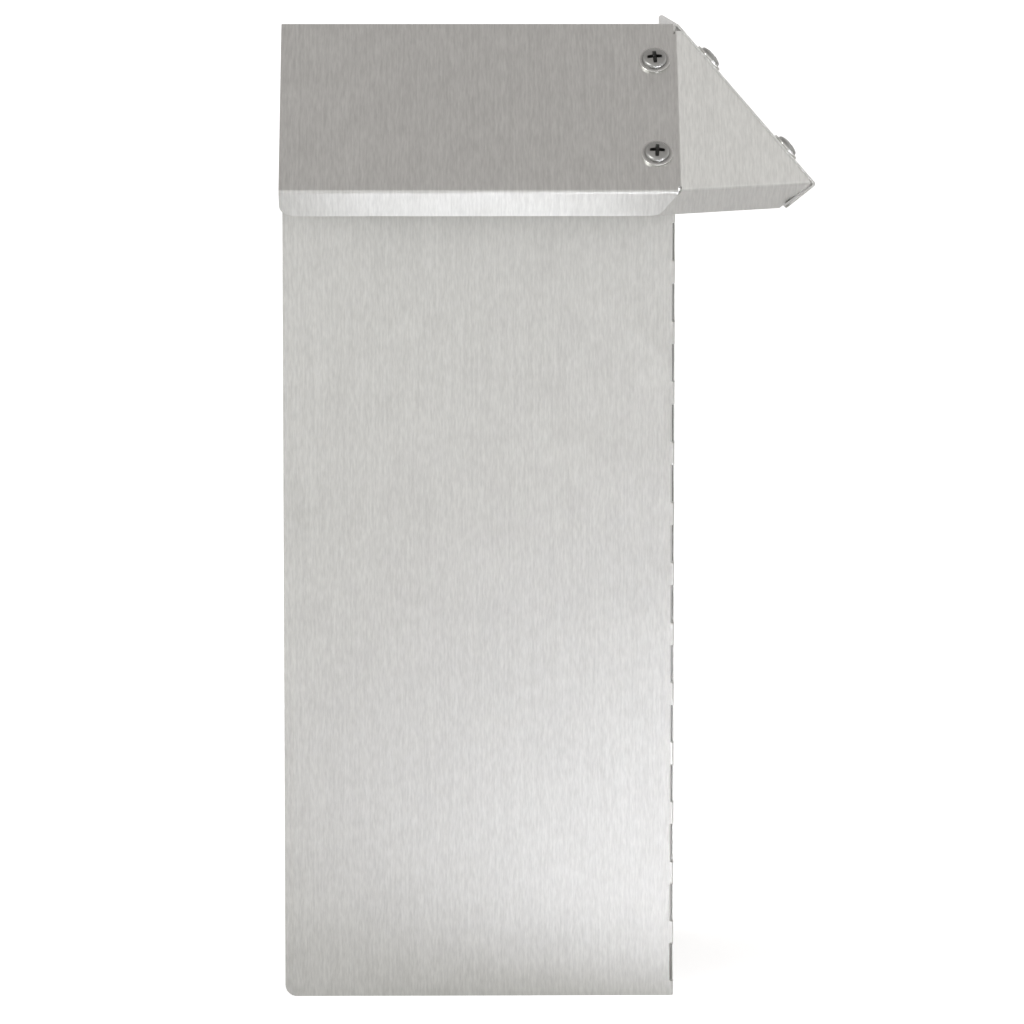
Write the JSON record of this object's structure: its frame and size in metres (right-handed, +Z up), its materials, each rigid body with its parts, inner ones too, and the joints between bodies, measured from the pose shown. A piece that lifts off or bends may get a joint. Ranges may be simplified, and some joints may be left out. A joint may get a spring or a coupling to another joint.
{
  "type": "slug fence corner element",
  "caption": "Folded stainless sheet corner of a slug fence: two legs on a slotted fold, sloping hoods with turned-in lips, and a screwed-on triangular corner cap.",
  "frame": {"origin": "bottom centre of the bounding box, level with the lower edges that the element stands on", "axes": "+Z up; the front leg runs along X and faces -Y, the side leg runs along Y and faces +X, and the folded corner is at +X, -Y"},
  "size_m": [0.1356, 0.1356, 0.25],
  "materials": {
    "sheet_steel": "satin stainless sheet with fine vertical brushed grain",
    "cap_steel": "satin stainless sheet with fine brushed grain",
    "fastener_steel": "polished stainless"
  },
  "bodies": {
    "root": {"corner_sheet": "sheet_steel", "corner_cap": "cap_steel", "front_upper_screw": "fastener_steel", "front_lower_screw": "fastener_steel", "side_upper_screw": "fastener_steel", "side_lower_screw": "fastener_steel", "front_upper_nut": "fastener_steel", "front_lower_nut": "fastener_steel", "side_upper_nut": "fastener_steel", "side_lower_nut": "fastener_steel"}
  },
  "joints": []
}
